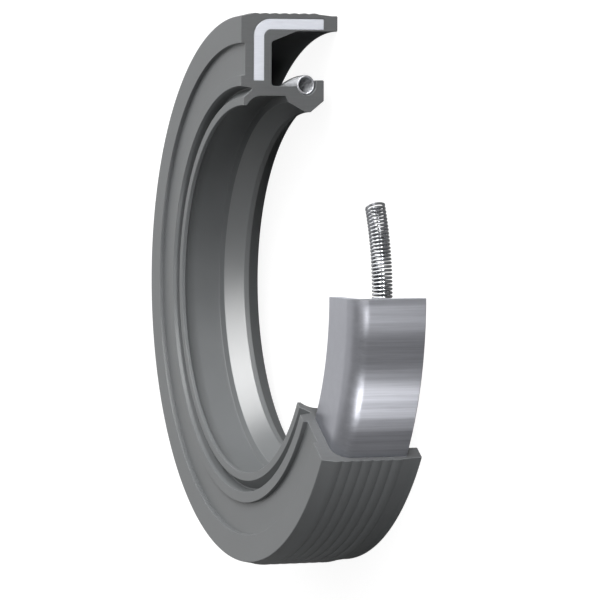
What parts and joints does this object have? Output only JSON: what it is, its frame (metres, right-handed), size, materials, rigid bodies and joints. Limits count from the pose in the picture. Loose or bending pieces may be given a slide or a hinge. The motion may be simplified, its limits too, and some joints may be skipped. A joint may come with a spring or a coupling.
{
  "type": "radial shaft seal",
  "caption": "Radial shaft seal cut open in steps: rubber cover with main lip and dust lip, L-section steel case inside, and a garter spring round the main lip.",
  "frame": {"origin": "on the seal's axis, at the middle of the main lip's sealing edge", "axes": "+Z along the axis towards the air side face, so the seal lies on its oil side end; the cutting plane shared by all three pieces stands over +Y, and the pieces run round from it by way of -X and -Y"},
  "size_m": [0.0517, 0.0522, 0.0098],
  "materials": {
    "cover_rubber": "fine matt moulded nitrile rubber, mid grey",
    "case_steel": "satin cold-rolled steel sheet, cut faces brighter",
    "spring_wire": "bright drawn spring wire"
  },
  "bodies": {
    "root": {"rubber_cover": "cover_rubber", "steel_case": "case_steel", "garter_spring": "spring_wire"}
  },
  "joints": []
}
